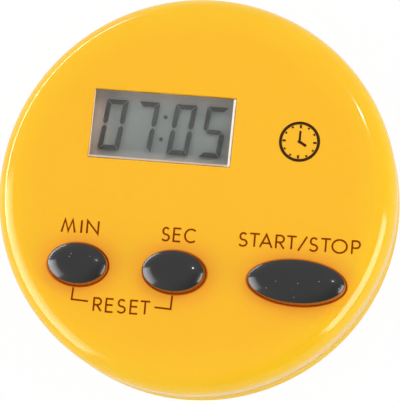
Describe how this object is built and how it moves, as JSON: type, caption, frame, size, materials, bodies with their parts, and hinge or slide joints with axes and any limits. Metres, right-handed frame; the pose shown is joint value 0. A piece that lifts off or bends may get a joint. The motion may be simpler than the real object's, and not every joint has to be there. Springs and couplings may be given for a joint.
{
  "type": "digital kitchen timer",
  "caption": "Round domed digital kitchen timer with a display window, oval press keys, a coin-slot battery door and a magnet set flush in its back.",
  "frame": {"origin": "middle of the flat back face, which the timer lies on", "axes": "+Z out of the front, +Y towards twelve o'clock, +X to the reader's right"},
  "size_m": [0.07, 0.07, 0.0206],
  "materials": {
    "case_plastic": "glossy moulded orange plastic",
    "clear_plastic": "clear polished plastic",
    "polariser_film": "grey film",
    "display_glass": "clear",
    "display_black": "dark display bars",
    "seal_resin": "matt resin",
    "reflector_foil": "matt grey-green reflector",
    "white_plastic": "matt white",
    "connector_rubber": "striped silicone strip",
    "board_laminate": "green solder mask",
    "pad_metal": "gold plated",
    "black_resin": "matt black resin",
    "nickel_steel": "nickel plated",
    "ferrite": "dull dark grey",
    "chip_ceramic": "matt ceramic",
    "key_plastic": "glossy charcoal plastic",
    "silicone": "translucent silicone",
    "carbon_rubber": "matt carbon rubber",
    "brass": "plain brass",
    "red_wire": "insulated wire",
    "black_wire": "insulated wire",
    "gasket_plastic": "matt nylon",
    "screw_steel": "zinc plated"
  },
  "bodies": {
    "case": {"front_cover": "case_plastic", "back_cover": "case_plastic", "window_lens": "clear_plastic", "front_polariser": "polariser_film", "lcd_front_glass": "display_glass", "lcd_rear_glass": "display_glass", "lcd_segments": "display_black", "lcd_seal": "seal_resin", "reflector": "reflector_foil", "display_holder": "white_plastic", "zebra_connector": "connector_rubber", "circuit_board": "board_laminate", "contact_pads": "pad_metal", "chip_blob": "black_resin", "transistor": "black_resin", "crystal": "nickel_steel", "positive_contact": "nickel_steel", "negative_contact": "nickel_steel", "battery_can": "nickel_steel", "battery_cap": "nickel_steel", "boost_inductor": "ferrite", "magnet": "ferrite", "chip_components": "chip_ceramic", "buzzer_ceramic": "chip_ceramic", "min_dome": "silicone", "sec_dome": "silicone", "start_stop_dome": "silicone", "keypad_mat": "silicone", "buzzer_plate": "brass", "buzzer_lead_red": "red_wire", "battery_lead_red": "red_wire", "buzzer_lead_black": "black_wire", "battery_lead_black": "black_wire", "battery_gasket": "gasket_plastic", "case_screws": "screw_steel", "board_screws": "screw_steel"},
    "min_button": {"min_key": "key_plastic", "min_plunger": "silicone", "min_pill": "carbon_rubber"},
    "sec_button": {"sec_key": "key_plastic", "sec_plunger": "silicone", "sec_pill": "carbon_rubber"},
    "start_stop_button": {"start_stop_key": "key_plastic", "start_stop_plunger": "silicone", "start_stop_pill": "carbon_rubber"},
    "door": {"battery_door": "case_plastic"}
  },
  "joints": [
    {"name": "min_press", "type": "slide", "parent": "case", "child": "min_button", "axis": [0, 0, -1], "range_m": [0, 0.0009], "stiffness_N_per_m": 1000, "deforming": ["min_dome"]},
    {"name": "sec_press", "type": "slide", "parent": "case", "child": "sec_button", "axis": [0, 0, -1], "range_m": [0, 0.0009], "stiffness_N_per_m": 1000, "deforming": ["sec_dome"]},
    {"name": "start_stop_press", "type": "slide", "parent": "case", "child": "start_stop_button", "axis": [0, 0, -1], "range_m": [0, 0.0009], "stiffness_N_per_m": 1000, "deforming": ["start_stop_dome"]},
    {"name": "door_turn", "type": "hinge", "parent": "case", "child": "door", "pos_m": [0.0196, 0.0092, 0], "axis": [0, 0, -1], "range_deg": [0, 45]}
  ]
}
